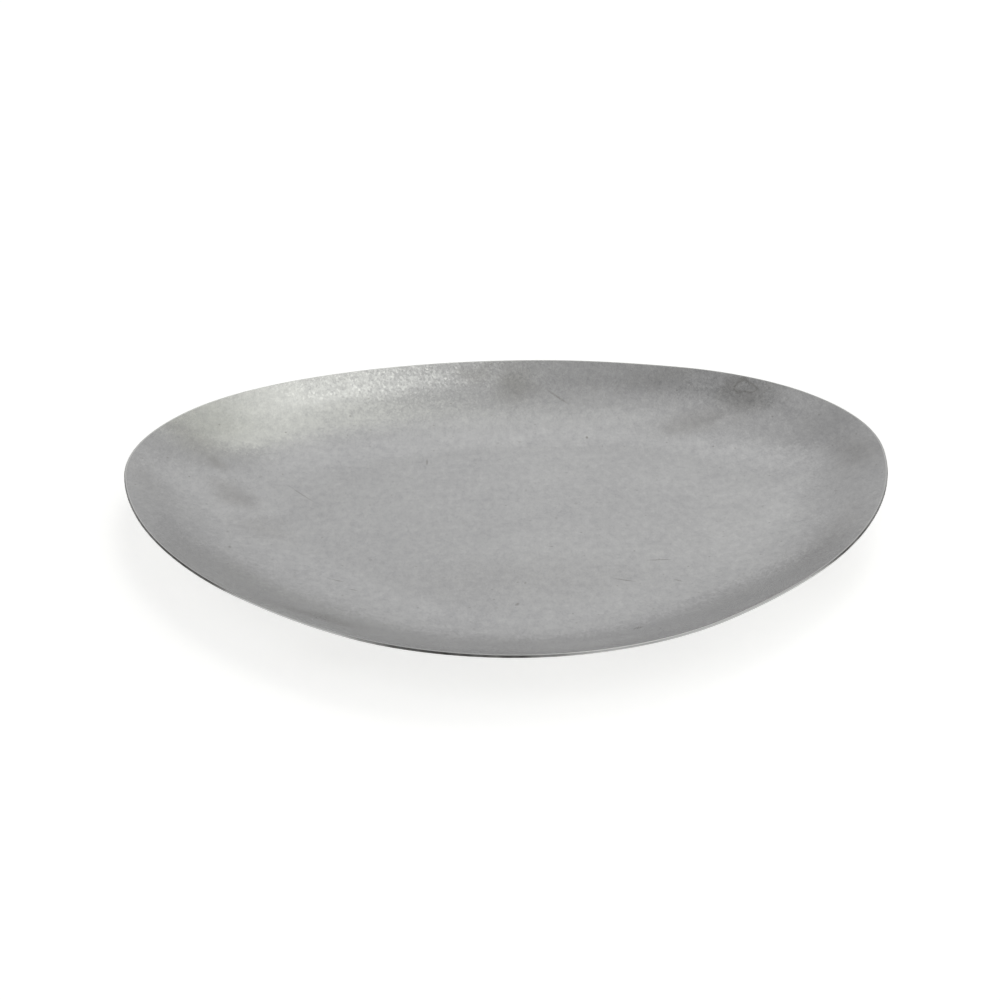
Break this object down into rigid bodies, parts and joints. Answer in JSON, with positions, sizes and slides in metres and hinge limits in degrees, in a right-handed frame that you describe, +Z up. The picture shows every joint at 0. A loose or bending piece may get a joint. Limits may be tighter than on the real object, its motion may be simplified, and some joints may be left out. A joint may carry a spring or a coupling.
{
  "type": "triangular plate",
  "caption": "Shallow dish of plain pressed aluminium sheet with a rounded triangular outline, a flat floor that curves gently up into a raised rim, standing on small clear bumper feet.",
  "frame": {"origin": "middle of the bounding box in X and Y, on the table that the feet stand on", "axes": "+Z up out of the well, -Y towards the corner that points at the viewer, +X to the viewer's right, along the widest measure from corner to corner"},
  "size_m": [0.2998, 0.2972, 0.022],
  "materials": {
    "sheet": "raw, satin",
    "feet": "clear, satin"
  },
  "bodies": {
    "root": {"dished_sheet": "sheet", "front_bumper_foot": "feet", "right_bumper_foot": "feet", "left_bumper_foot": "feet"}
  },
  "joints": []
}
